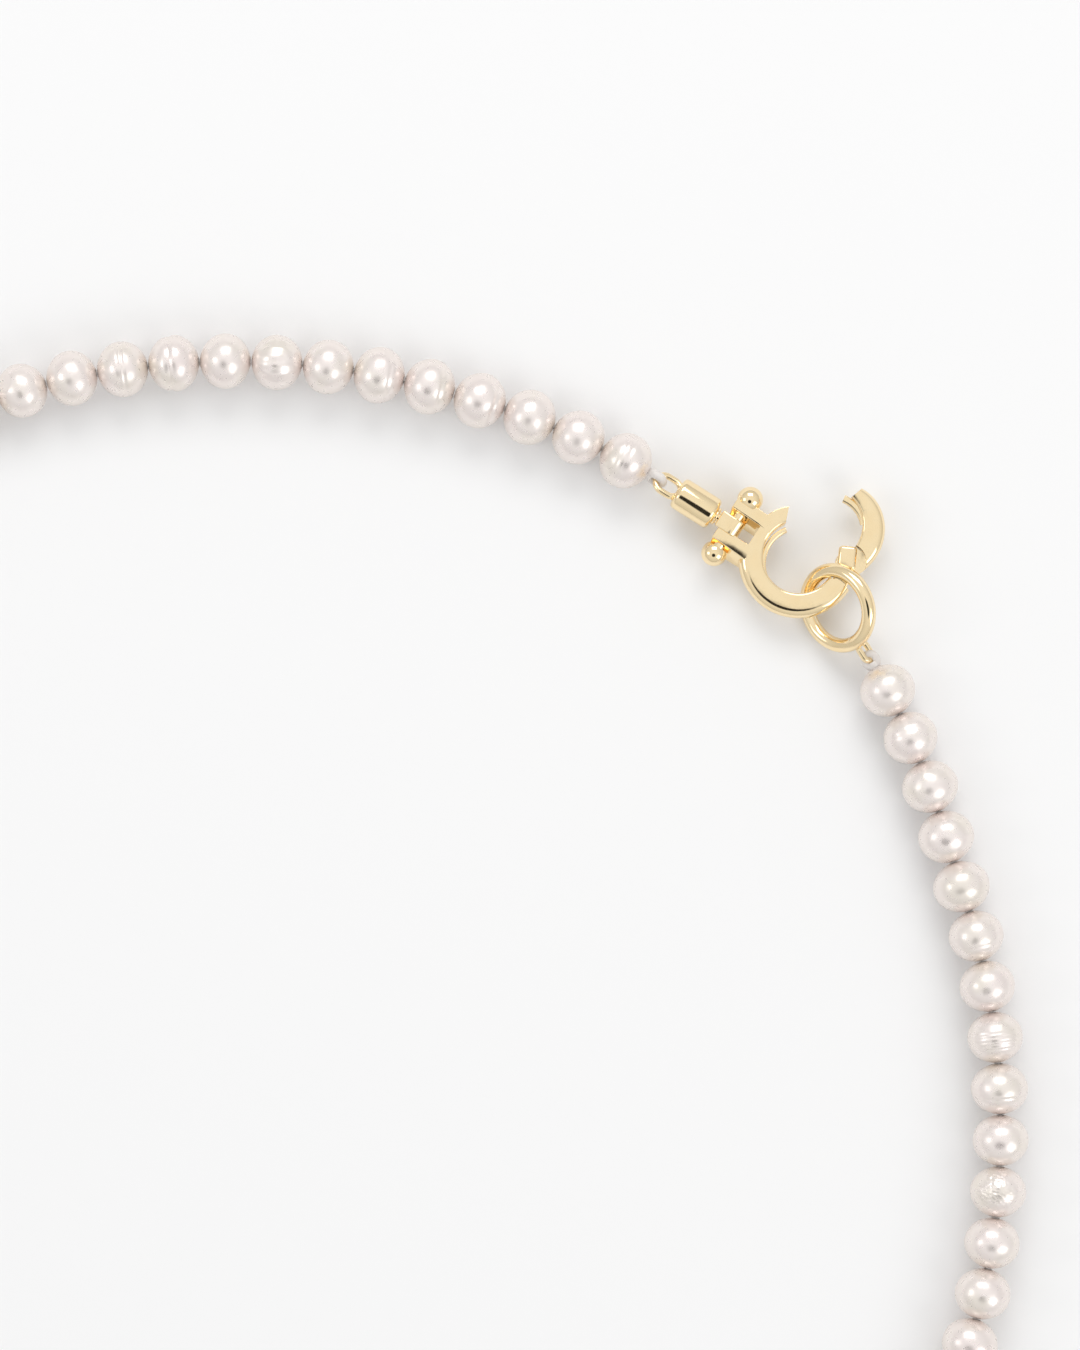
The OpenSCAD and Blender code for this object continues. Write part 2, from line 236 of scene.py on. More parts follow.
@dataclass(frozen=True)
class Nacre:
    """Freshwater nacre, grown in layers: a satin ivory body under a glossy, faintly pink skin."""

    body: str = "F7EEE9"
    blush: str = "F5EAE6"
    shade: str = "F1E9DF"
    # painted shade: the darker colour that the pearl's rim takes where its surface turns away from the view
    edge: str = "EBE1D9"
    cloud_mm: float = 3.2
    layer_mm: float = 0.5
    roughness: float = 0.3

    def make(self) -> bpy.types.Material:
        """Builds the node material and returns it."""
        material = bpy.data.materials.new("freshwater_nacre")
        material.use_nodes = True
        tree = material.node_tree
        shader = tree.nodes["Principled BSDF"]
        place = add_node(tree, "ShaderNodeTexCoord", {}, {}).outputs["Object"]
        cloud = add_node(tree, "ShaderNodeTexNoise", {"Scale": 1 / (self.cloud_mm * MM), "Detail": 3.0},
                         {"Vector": place})
        layer = add_node(tree, "ShaderNodeTexNoise",
                         {"Scale": 1 / (self.layer_mm * MM), "Detail": 2.0, "Distortion": 0.6},
                         {"Vector": place})
        tone = add_node(tree, "ShaderNodeValToRGB", {}, {"Fac": cloud.outputs["Fac"]})
        ramp = tone.color_ramp
        ramp.elements[0].position = 0.32
        ramp.elements[0].color = linear(self.shade)
        ramp.elements[1].position = 0.68
        ramp.elements[1].color = linear(self.blush)
        middle = ramp.elements.new(0.5)
        middle.color = linear(self.body)
        # Painted shade: the base colour turns to the darker edge colour as the surface turns away from the view,
        # standing in for the light falling off at the pearl's rim.
        rim_shade_weight = add_node(tree, "ShaderNodeLayerWeight", {"Blend": 0.35}, {})
        skin = add_node(tree, "ShaderNodeMix", {"data_type": "RGBA"}, {0: rim_shade_weight.outputs["Facing"]})
        tree.links.new(tone.outputs["Color"], skin.inputs[6])
        skin.inputs[7].default_value = linear(self.edge)
        tree.links.new(skin.outputs[2], shader.inputs["Base Color"])
        rough = add_node(tree, "ShaderNodeMapRange",
                         {"From Min": 0.3, "From Max": 0.7, "To Min": self.roughness * 0.85,
                          "To Max": self.roughness * 1.2}, {"Value": layer.outputs["Fac"]})
        tree.links.new(rough.outputs["Result"], shader.inputs["Roughness"])
        shader.inputs["IOR"].default_value = 1.6
        shader.inputs["Metallic"].default_value = 0.55
        shader.inputs["Coat Weight"].default_value = 0.4
        shader.inputs["Coat Roughness"].default_value = 0.2
        shader.inputs["Coat IOR"].default_value = 1.6
        return material


@dataclass(frozen=True)
class BeadingThread:
    """Clear nylon beading thread, drawn and doubled: milky where its turns lie on each other."""

    pale: str = "F4F0EC"
    deep: str = "D2CBC6"
    patch_mm: float = 0.48

    def make(self) -> bpy.types.Material:
        """Builds the node material and returns it."""
        material = bpy.data.materials.new("nylon_thread")
        material.use_nodes = True
        tree = material.node_tree
        shader = tree.nodes["Principled BSDF"]
        place = add_node(tree, "ShaderNodeTexCoord", {}, {}).outputs["Object"]
        turns = add_node(tree, "ShaderNodeTexNoise", {"Scale": 1 / (self.patch_mm * MM), "Detail": 3.0},
                         {"Vector": place})
        colour = add_node(tree, "ShaderNodeMix", {"data_type": "RGBA"}, {0: turns.outputs["Fac"]})
        colour.inputs[6].default_value = linear(self.deep)
        colour.inputs[7].default_value = linear(self.pale)
        tree.links.new(colour.outputs[2], shader.inputs["Base Color"])
        bump = add_node(tree, "ShaderNodeBump", {"Strength": 0.5, "Distance": 0.05 * MM},
                        {"Height": turns.outputs["Fac"]})
        tree.links.new(bump.outputs["Normal"], shader.inputs["Normal"])
        shader.inputs["Roughness"].default_value = 0.35
        shader.inputs["IOR"].default_value = 1.53
        shader.inputs["Subsurface Weight"].default_value = 0.3
        shader.inputs["Subsurface Radius"].default_value = (0.4 * MM, 0.4 * MM, 0.4 * MM)
        shader.inputs["Subsurface Scale"].default_value = 1.0
        return material


@dataclass(frozen=True)
class StudioPaper:
    """Matt white background paper: even and without gloss."""

    colour: str = "F7F7F7"
    grain_mm: float = 0.6

    def make(self) -> bpy.types.Material:
        """Builds the node material and returns it."""
        material = bpy.data.materials.new("studio_paper")
        material.use_nodes = True
        tree = material.node_tree
        shader = tree.nodes["Principled BSDF"]
        place = add_node(tree, "ShaderNodeTexCoord", {}, {}).outputs["Object"]
        grain = add_node(tree, "ShaderNodeTexNoise", {"Scale": 1 / (self.grain_mm * MM)}, {"Vector": place})
        bump = add_node(tree, "ShaderNodeBump", {"Strength": 0.02, "Distance": 0.02 * MM},
                        {"Height": grain.outputs["Fac"]})
        tree.links.new(bump.outputs["Normal"], shader.inputs["Normal"])
        shader.inputs["Base Color"].default_value = linear(self.colour)
        shader.inputs["Roughness"].default_value = 0.9
        shader.inputs["Specular IOR Level"].default_value = 0.1
        return material


# ---- finding places on the frame ----

def joint_named(name: str) -> dict:
    """Returns the record's joint of that name."""
    return next(j for j in frame["joints"] if j["name"] == name)


def solids_of(node: str) -> list[np.ndarray]:
    """Splits a CAD node's points into its separate solids.

    Args:
        node: The node's name.

    Returns:
        One array of points for each solid.
    """
    copy = bmesh.new()
    copy.from_mesh(frame["nodes"][node].data)
    bmesh.ops.remove_doubles(copy, verts=copy.verts, dist=0.002 * MM)
    copy.verts.ensure_lookup_table()
    seen: set[int] = set()
    found = []
    for vert in copy.verts:
        if vert.index in seen:
            continue
        seen.add(vert.index)
        todo, points = [vert], []
        while todo:
            at = todo.pop()
            points.append(tuple(at.co))
            for edge in at.link_edges:
                other = edge.other_vert(at)
                if other.index not in seen:
                    seen.add(other.index)
                    todo.append(other)
        found.append(np.array(points))
    copy.free()
    return found


def frame_at(origin: Vector, along: Vector, up: Vector) -> Matrix:
    """Returns a millimetre frame at a point, X along a direction and Z as near up as can be."""
    x = along.normalized()
    y = up.cross(x).normalized()
    z = x.cross(y)
    turn = Matrix((x, y, z)).transposed().to_4x4()
    return Matrix.Translation(origin) @ turn @ Matrix.Scale(MM, 4)


def settle(piece: bpy.types.Object, name: str, material: bpy.types.Material, body: str,
           place: Matrix, nodes: tuple[str, ...] = ()) -> None:
    """Names, places and dresses a finished piece and ties it to its CAD body.

    Args:
        piece: The piece, modelled in millimetres.
        name: Its name.
        material: Its finish.
        body: The CAD body that it rides on.
        place: The frame that it was modelled in.
        nodes: CAD nodes that it stands for.
    """
    freeze(piece)
    piece.data.transform(place)
    piece.data.update()
    piece.name = name
    piece.data.name = name
    piece.data.materials.clear()
    piece.data.materials.append(material)
    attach(piece, body)
    if nodes:
        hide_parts(*nodes)


# ---- pearls ----

class FlawKind(Enum):
    """Ways in which a cultured pearl's skin leaves the round."""

    FACET = "facet"
    GROOVE = "groove"
    WAIST = "waist"
    COMB = "comb"
    PIT = "pit"
    BUMP = "bump"
    RINGS = "rings"
    ROUGH = "rough"


@dataclass(frozen=True)
class Flaw:
    """One flaw: its kind, the direction it faces or its place along the drill axis, its width and depth.

    Directions are (along the strand, out of the loop, up).
    """

    kind: FlawKind
    facing: tuple[float, float, float] = (0.0, 0.0, 1.0)
    width: float = 0.2
    depth: float = 0.08

    def offset(self, way: Vector) -> float:
        """Returns how far the skin moves outwards, in mm, in a direction from the pearl's middle."""
        facing = Vector(self.facing).normalized()
        near = way.dot(facing)
        if self.kind is FlawKind.FACET:
            limit = math.cos(self.width)
            return -2.3 * (near - limit) / max(near, 0.1) * 0.9 if near > limit else 0.0
        if self.kind is FlawKind.GROOVE:
            line = (way.x - self.facing[0]) / self.width
            half = bump_between(way.z, -0.4, 0.3)
            return -self.depth * math.exp(-line * line) * half
        if self.kind is FlawKind.WAIST:
            line = (way.x - self.facing[0]) / self.width
            return -self.depth * math.exp(-line * line)
        if self.kind is FlawKind.COMB:
            across = math.atan2(way.y, way.z)
            return -self.depth * (0.5 + 0.5 * math.cos(across / self.width * FULL_TURN)) \
                * bump_between(way.z, 0.1, 0.6) * bump_between(1 - abs(way.x), 0.2, 0.6)
        if self.kind is FlawKind.RINGS:
            ripple = 0.5 + 0.5 * math.cos((way.x - self.facing[0]) / self.width * FULL_TURN)
            return -self.depth * ripple * bump_between(0.55 - abs(way.x - self.facing[0]), 0.0, 0.3)
        reach = math.exp(-((1 - near) / (self.width * self.width)) * 1.0)
        if self.kind is FlawKind.ROUGH:
            return self.depth * reach * noise.noise(way * 14)
        return (self.depth if self.kind is FlawKind.BUMP else -self.depth) * reach


FLAWS_LEFT: dict[int, tuple[Flaw, ...]] = {
    0: (Flaw(FlawKind.WAIST, (-0.05, 0, 0), 0.09, 0.05), Flaw(FlawKind.GROOVE, (0.25, 0, 0), 0.05, 0.03)),
    3: (Flaw(FlawKind.GROOVE, (-0.62, 0, 0), 0.08, 0.07),
        Flaw(FlawKind.PIT, (-0.6, 0.55, 0.6), 0.22, 0.12)),
    4: (Flaw(FlawKind.GROOVE, (-0.5, 0, 0), 0.07, 0.06),),
    5: (Flaw(FlawKind.GROOVE, (-0.45, 0, 0), 0.07, 0.06),),
    7: (Flaw(FlawKind.COMB, (0, 0, 1), 0.34, 0.035), Flaw(FlawKind.PIT, (-0.3, -0.1, 1), 0.1, 0.06)),
    9: (Flaw(FlawKind.WAIST, (0.15, 0, 0), 0.16, 0.11), Flaw(FlawKind.GROOVE, (0.12, 0, 0), 0.04, 0.05)),
    10: (Flaw(FlawKind.GROOVE, (-0.08, 0, 0), 0.045, 0.09), Flaw(FlawKind.GROOVE, (0.1, 0, 0), 0.05, 0.04)),
    12: (Flaw(FlawKind.FACET, (0.62, -0.42, 0.66), 0.42),),
}
FLAWS_RIGHT: dict[int, tuple[Flaw, ...]] = {
    1: (Flaw(FlawKind.WAIST, (0.3, 0, 0), 0.1, 0.03),),
    2: (Flaw(FlawKind.BUMP, (0.62, 0.1, 0.75), 0.2, 0.09),),
    5: (Flaw(FlawKind.GROOVE, (-0.4, 0, 0), 0.06, 0.03),),
    7: (Flaw(FlawKind.RINGS, (-0.1, 0, 0), 0.16, 0.035),),
    8: (Flaw(FlawKind.GROOVE, (-0.35, 0, 0), 0.05, 0.05),),
    10: (Flaw(FlawKind.ROUGH, (0.1, 0.3, 0.9), 0.5, 0.12),),
}


@dataclass
class Pearl:
    """One drilled pearl: where it is, how it lies, its sizes in mm and its flaws."""

    node: str
    middle: Vector
    along: Vector
    width: float
    length: float
    seed: int
    flaws: tuple[Flaw, ...] = ()
    fine: bool = False

    def skin(self, point: Vector) -> Vector:
        """Returns where a point of the round pearl goes on this one."""
        way = point.normalized()
        swell = 0.035 * noise.noise(way * 1.3 + Vector((self.seed * 3.7, 0, 0)))
        swell += 0.012 * noise.noise(way * 3.1 + Vector((0, self.seed * 2.3, 0)))
        bored = math.hypot(way.y, way.z)
        hold = bump_between(bored, 0.1, 0.35)
        swell += sum(flaw.offset(way) for flaw in self.flaws) - 0.02
        round_off = 1 + 0.012 * math.sin(self.seed * 5.1)
        shaped = Vector((way.x * self.length / 2, way.y * self.width / 2 * round_off,
                         way.z * self.width / 2))
        return shaped + way * swell * hold

    def build(self) -> bpy.types.Object:
        """Models the pearl about its drill axis and returns it, in mm."""
        rings, segments = (84, 132) if self.fine else (28, 44)
        deselect()
        bpy.ops.mesh.primitive_uv_sphere_add(segments=segments, ring_count=rings, radius=1,
                                             rotation=(0, math.pi / 2, 0))
        piece = bpy.context.object
        freeze(piece)
        edit(piece)
        pick(piece, lambda p: math.hypot(p.y, p.z) < 0.13)
        bpy.ops.mesh.delete(type="VERT")
        bpy.ops.object.mode_set(mode="OBJECT")
        move_points(piece, self.skin)
        edit(piece)
        bpy.ops.mesh.select_mode(type="EDGE")
        bpy.ops.mesh.select_all(action="DESELECT")
        bpy.ops.mesh.select_non_manifold()
        bpy.ops.mesh.bridge_edge_loops()
        close_up(piece, 0.0005)
        smooth(piece, 60)
        return piece


@dataclass
class PearlStrand:
    """All the pearls, found on the frame in order round the loop from the clasp."""

    nacre: bpy.types.Material
    body_of: dict[str, str]
    seen_left: int = 14
    seen_right: int = 15
    pearls: list[Pearl] = field(default_factory=list)

    def find(self) -> None:
        """Finds every drilled solid and gives it its neighbours' direction and its flaws."""
        start = math.degrees(math.atan2(*reversed(joint_named("tongue_fold")["pos_m"][:2])))
        places = []
        for node in sorted(n for n in frame["nodes"] if n.startswith("pearls_")):
            for points in solids_of(node):
                low, high = points.min(axis=0), points.max(axis=0)
                middle = Vector((low + high) / 2)
                turn = (math.degrees(math.atan2(middle.y, middle.x)) - start) % 360
                places.append((turn, node, middle, points))
        places.sort(key=lambda p: p[0])
        last = len(places) - 1
        for i, (_, node, middle, points) in enumerate(places):
            before, after = places[max(i - 1, 0)][2], places[min(i + 1, last)][2]
            along = (after - before).normalized()
            reach = np.abs((points - np.array(middle)) @ np.array(along)).max()
            wide = points[:, 2].max() - points[:, 2].min()
            flaws = FLAWS_LEFT.get(i, ()) + FLAWS_RIGHT.get(last - i, ())
            self.pearls.append(Pearl(node, middle, along, wide / MM, 2 * reach / MM + 0.05, i, flaws,
                                     i < self.seen_left or last - i < self.seen_right))

    def build(self) -> None:
        """Builds every pearl in its place."""
        self.find()
        for number, pearl in enumerate(self.pearls, 1):
            piece = pearl.build()
            place = frame_at(pearl.middle, pearl.along, Vector((0, 0, 1)))
            settle(piece, f"pearl_{number:02d}", self.nacre, self.body_of[pearl.node], place,
                   (pearl.node,))
        LOG.info("pearls: %d", len(self.pearls))


# ---- clasp ----

def spun_bar(middle: tuple[float, float], radius: float, start: float, turn: float, width: float,
             height: float, lift: float, outer: float, inner: float) -> bpy.types.Object:
    """Spins a rounded bar section into an arc.

    Args:
        middle: The arc's middle, in mm.
        radius: The arc's middle radius.
        start: The angle where it starts, in degrees.
        turn: How far it turns, in degrees.
        width: The bar's width seen from above.
        height: Its thickness.
        lift: How high its middle lies.
        outer: Rounding of the two outer corners.
        inner: Rounding of the two inner corners.

    Returns:
        The arc as a closed solid.
    """
    deselect()
    bpy.ops.mesh.primitive_plane_add(size=1, rotation=(math.pi / 2, 0, 0))
    piece = bpy.context.object
    piece.scale = (width, height, 1)
    freeze(piece)
    edit(piece)
    pick(piece, lambda p: p.x > 0)
    bpy.ops.mesh.bevel(offset=outer, segments=8, affect="VERTICES", offset_type="OFFSET")
    pick(piece, lambda p: p.x < -width / 2 + 0.01)
    bpy.ops.mesh.bevel(offset=inner, segments=6, affect="VERTICES", offset_type="OFFSET")
    bpy.ops.object.mode_set(mode="OBJECT")
    at = math.radians(start)
    place = Matrix.Translation((middle[0], middle[1], lift)) @ Matrix.Rotation(at, 4, "Z") \
        @ Matrix.Translation((radius, 0, 0))
    piece.data.transform(place)
    edit(piece)
    steps = max(6, round(abs(turn) / 2.5))
    bpy.ops.mesh.spin(steps=steps, angle=-math.radians(turn), center=(middle[0], middle[1], 0),
                      axis=(0, 0, 1))
    close_up(piece)
    return piece


def trimmed(piece: bpy.types.Object, point: tuple[float, float, float],
            outwards: tuple[float, float, float]) -> None:
    """Cuts a piece flat through a point and closes the cut, keeping the side the normal leaves."""
    edit(piece)
    bpy.ops.mesh.bisect(plane_co=point, plane_no=outwards, use_fill=True, clear_outer=True)
    close_up(piece)


def eased_block(size: tuple[float, float, float], middle: tuple[float, float, float],
                ease: float, segments: int = 3) -> bpy.types.Object:
    """Makes a block with all its edges eased."""
    deselect()
    bpy.ops.mesh.primitive_cube_add(size=1, location=middle)
    piece = bpy.context.object
    piece.scale = size
    freeze(piece)
    edit(piece)
    bpy.ops.mesh.bevel(offset=ease, segments=segments, affect="EDGES")
    close_up(piece)
    return piece


def turned_rod(radius: float, length: float, middle: tuple[float, float, float], ease: float,
               axis: str = "Z", sides: int = 48, segments: int = 5) -> bpy.types.Object:
    """Makes a rod along an axis with both its rims rounded over."""
    turn = {"X": (0, math.pi / 2, 0), "Y": (math.pi / 2, 0, 0), "Z": (0, 0, 0)}[axis]
    deselect()
    bpy.ops.mesh.primitive_cylinder_add(vertices=sides, radius=radius, depth=length)
    piece = bpy.context.object
    edit(piece)
    pick(piece, lambda p: abs(p.z) > length / 2 - 0.001, "EDGE")
    bpy.ops.mesh.bevel(offset=ease, segments=segments, affect="EDGES")
    close_up(piece)
    piece.rotation_euler = turn
    piece.location = middle
    freeze(piece)
    return piece


def wire_link(radius: float, wire: float, stretch: float = 0.0) -> bpy.types.Object:
    """Makes a closed wire link in the XY plane, its far half moved out along X to make it long."""
    deselect()
    bpy.ops.mesh.primitive_torus_add(major_radius=radius, minor_radius=wire / 2, major_segments=72,
                                     minor_segments=20)
    piece = bpy.context.object
    if stretch:
        half = 0.3 * radius
        move_points(piece, lambda p: p + Vector((stretch * bump_between(p.x, -half, half), 0, 0)))
    return piece


@dataclass
class SwivelClasp:
    """The hook with its clevis, gate, pins and swivel, modelled in the clasp's own frame in mm."""

    gold: bpy.types.Material
    hook_middle: tuple[float, float] = (6.32, 0.93)
    bar_radius: float = 4.175
    bar_width: float = 2.1
    bar_height: float = 1.4
    horn_width: float = 1.27
    horn_radius: float = 3.77
    horn_tip: tuple[float, float, float] = (3.2, 3.95, 0)
    gate_turn: float = 28.1
    gate_end: float = 130.0
    gate_open: float = 56.0
    ear_gap: float = 1.9
    ear_width: float = 1.2
    ear_height: float = 1.7
    tab_width: float = 1.45
    tab_height: float = 0.56
    lean: float = 0.45
    knuckle_scoop: float = 1.75
    gate_inner: float = 3.57
    gate_outer: float = 5.6
    taper_start: float = 50.0
    taper_turn: float = 80.0
    tab_past_hinge: float = 0.7

    def place(self) -> Matrix:
        """Returns the clasp's frame: X towards the hook, Y along the clevis pin."""
        pin = joint_named("tongue_fold")
        along = Vector(pin["axis"]).cross(Vector((0, 0, 1)))
        return frame_at(Vector(pin["pos_m"]), along, Vector((0, 0, 1)))

    def gate_at(self) -> tuple[float, float]:
        """Returns the gate's hinge point in the clasp's frame."""
        turn = math.radians(self.gate_turn)
        return (self.hook_middle[0] + self.bar_radius * math.cos(turn),
                self.hook_middle[1] + self.bar_radius * math.sin(turn))

    def leant(self, point: Vector) -> Vector:
        """Leans the ears' walls over, as the cast clevis does, and the round's much less."""
        share = 1 - 0.75 * bump_between(point.x, 1.6, 4.2)
        return point + Vector((-0.3, 1, 0)) * (self.lean * share * point.z / (self.bar_height / 2))

    def narrowed(self, point: Vector) -> Vector:
        """Narrows the gate towards its free end, mostly along its outer edge."""
        across = Vector((point.x - self.hook_middle[0], point.y - self.hook_middle[1], 0))
        share = (math.degrees(math.atan2(across.y, across.x)) - self.taper_start) / self.taper_turn
        inner = self.gate_inner - 0.43 * share
        outer = self.gate_outer - 1.24 * max(share, 0) ** 2
        reach = (across.length - self.bar_radius) / self.bar_width + 0.5
        placed = across.normalized() * (inner + (outer - inner) * reach)
        return Vector((self.hook_middle[0] + placed.x, self.hook_middle[1] + placed.y, point.z))

    def horn(self) -> bpy.types.Object:
        """Models the narrow horn that the gate shuts against, and the lip along its inner edge."""
        horn = spun_bar(self.hook_middle, self.horn_radius, 128, 50, self.horn_width, self.bar_height, 0,
                        0.12, 0.16)
        trimmed(horn, self.horn_tip, (0.92, 0.39, 0))
        lip = spun_bar((6.72, 0.58), 3.2, 140, 96, 0.46, 0.85, -0.27, 0.14, 0.16)
        trimmed(lip, (4.16, 2.3, 0), (0.6, 0.8, 0))
        unite(horn, lip)
        return horn

    def hook(self) -> bpy.types.Object:
        """Models the hook: its round, horn, hinge tab and clevis ears."""
        bar = spun_bar(self.hook_middle, self.bar_radius, 172, 189, self.bar_width, self.bar_height, 0,
                       0.68, 0.3)
        at = self.gate_at()
        unite(bar, self.horn())
        tab = spun_bar(self.hook_middle, self.bar_radius, 352, 8 + self.gate_turn, self.tab_width,
                       self.tab_height, self.tab_height / 2, 0.2, 0.2)
        unite(bar, tab)
        turn = math.radians(self.gate_turn)
        tip = eased_block((self.tab_width + 0.15, 1.45 + self.tab_past_hinge, self.tab_height + 0.16),
                          (0, (self.tab_past_hinge - 0.05) / 2, self.tab_height / 2 + 0.07), 0.34, 6)
        tip.data.transform(Matrix.Translation((at[0], at[1], 0)) @ Matrix.Rotation(turn, 4, "Z"))
        unite(bar, tip)
        top = self.bar_height / 2
        for side in (-1, 1):
            middle = side * (self.ear_gap + self.ear_width) / 2
            ear = eased_block((3.5, self.ear_width, self.ear_height),
                              (0.9, middle, top - self.ear_height / 2), 0.09)
            unite(bar, ear)
        slot = eased_block((4.2, self.ear_gap, 4), (0.05, 0, 0), 0.05)
        unite(bar, slot, "DIFFERENCE")
        move_points(bar, self.leant)
        smooth(bar, 32)
        return bar

    def gate(self) -> bpy.types.Object:
        """Models the gate with its lower hinge ear and stepped free end, swung open."""
        at = self.gate_at()
        bar = spun_bar(self.hook_middle, self.bar_radius, self.gate_turn, self.gate_end - self.gate_turn,
                       self.bar_width, self.bar_height, 0, 0.68, 0.3)
        move_points(bar, self.narrowed)
        unite(bar, turned_rod(self.knuckle_scoop, 3, (at[0], at[1], 1.48), 0.02), "DIFFERENCE")
        low = self.bar_height / 2 - 0.02
        unite(bar, turned_rod(0.95, low, (at[0], at[1], -low / 2 - 0.02), 0.12))
        unite(bar, spun_bar((7.18, 1.52), 3.0, 100, 57, 0.7, 0.66, -0.35, 0.15, 0.2))
        turn = Matrix.Translation((at[0], at[1], 0)) \
            @ Matrix.Rotation(-math.radians(self.gate_open), 4, "Z") \
            @ Matrix.Translation((-at[0], -at[1], 0))
        bar.data.transform(turn)
        smooth(bar, 32)
        return bar

    def pin(self) -> bpy.types.Object:
        """Models the clevis pin with its two domed ends."""
        reach = self.ear_gap / 2 + self.ear_width + 0.04
        rod = turned_rod(0.5, 2 * reach + 0.4, (0, 0, 0), 0.05, "Y", 32, 2)
        for side in (-1, 1):
            deselect()
            bpy.ops.mesh.primitive_uv_sphere_add(segments=56, ring_count=40, radius=1.13,
                                                 location=(0, side * (reach + 0.62), 0))
            dome = bpy.context.object
            freeze(dome)
            trimmed(dome, (0, side * reach, 0), (0, -side, 0))
            unite(rod, dome)
        smooth(rod, 40)
        return rod

    def tongue(self) -> bpy.types.Object:
        """Models the flat tongue that curls round the pin and its neck into the barrel."""
        curl = turned_rod(0.93, 1.5, (0, 0, 0), 0.12, "Y")
        strap = eased_block((1.5, 1.5, 0.95), (-0.62, 0, 0.42), 0.12)
        unite(curl, strap)
        smooth(curl, 35)
        return curl

    def build(self, body_of: dict[str, str]) -> None:
        """Builds the clasp's pieces in their places."""
        place = self.place()
        for name, make in (("clasp_hook", self.hook), ("clasp_gate", self.gate), ("clevis_pin", self.pin)):
            settle(make(), f"{name}_cast", self.gold, body_of[name], place, (name,))
            LOG.info("clasp piece: %s", name)
        frame["nodes"]["gate_rivet"].data.materials.clear()
        frame["nodes"]["gate_rivet"].data.materials.append(self.gold)


@dataclass
class Swivel:
    """The tongue's neck, the barrel and the eye that the thread is tied to, along the barrel's axis."""

    gold: bpy.types.Material
    thread: bpy.types.Material
    clasp: SwivelClasp
    barrel_start: float = 1.81
    barrel_length: float = 3.84
    barrel_radius: float = 1.45
    thread_end: float = 8.6

    def place(self) -> Matrix:
        """Returns the barrel's frame: X from the pin back towards the strand."""
        spin = joint_named("barrel_spin")
        return frame_at(Vector(spin["pos_m"]), -Vector(spin["axis"]), Vector((0, 0, 1)))

    def tongue(self) -> bpy.types.Object:
        """Joins the curled tongue, moved to the barrel's frame, to its neck."""
        piece = self.clasp.tongue()
        piece.data.transform(self.place().inverted() @ self.clasp.place())
        neck = turned_rod(0.56, 2.4, (1.55, 0, 0), 0.05, "X", 40, 2)
        unite(piece, neck)
        collar = turned_rod(0.8, 0.3, (self.barrel_start - 0.14, 0, 0), 0.1, "X", 40, 3)
        unite(piece, collar)
        smooth(piece, 35)
        return piece

    def barrel(self) -> bpy.types.Object:
        """Models the barrel with its rounded rims."""
        middle = self.barrel_start + self.barrel_length / 2
        piece = turned_rod(self.barrel_radius, self.barrel_length, (middle, 0, 0), 0.42, "X", 72, 8)
        smooth(piece, 40)
        return piece

    def eye(self) -> bpy.types.Object:
        """Models the long wire eye that stands out of the barrel's end."""
        link = wire_link(0.86, 0.56, 0.62)
        link.data.transform(Matrix.Translation((self.barrel_start + self.barrel_length + 0.62, 0, 0))
                            @ Matrix.Rotation(math.radians(32), 4, "X"))
        foot = turned_rod(0.95, 0.5, (self.barrel_start + self.barrel_length - 0.16, 0, 0), 0.12, "X", 48,
                          4)
        unite(link, foot)
        smooth(link, 40)
        return link

    def loop(self) -> bpy.types.Object:
        """Models the bound thread that goes round the eye's wire and into the first pearl."""
        eye_end = self.barrel_start + self.barrel_length + 0.62 + 0.86 + 0.62
        link = wire_link(0.56, 0.8, 0.2)
        link.data.transform(Matrix.Translation((eye_end, 0, 0))
                            @ Matrix.Rotation(math.radians(-62), 4, "X"))
        left = self.thread_end - eye_end
        stem = turned_rod(0.56, left - 0.35, (eye_end + 0.3 + left / 2, 0, 0), 0.12, "X", 24, 3)
        unite(link, stem)
        smooth(link, 50)
        return link

    def build(self, body_of: dict[str, str]) -> None:
        """Builds the swivel's pieces in their places."""
        place = self.place()
        settle(self.tongue(), "swivel_tongue_forged", self.gold, body_of["swivel_tongue"], place,
               ("swivel_tongue",))
        settle(self.barrel(), "swivel_barrel_turned", self.gold, body_of["swivel_barrel"], place,
               ("swivel_barrel",))
        settle(self.eye(), "strand_eye_wire", self.gold, body_of["strand_eye"], place,
               ("strand_eye",))
        settle(self.loop(), "thread_loop_left_bound", self.thread, body_of["thread_loop_left"],
               place, ("thread_loop_left",))
        LOG.info("swivel: tongue, barrel, eye and thread loop")


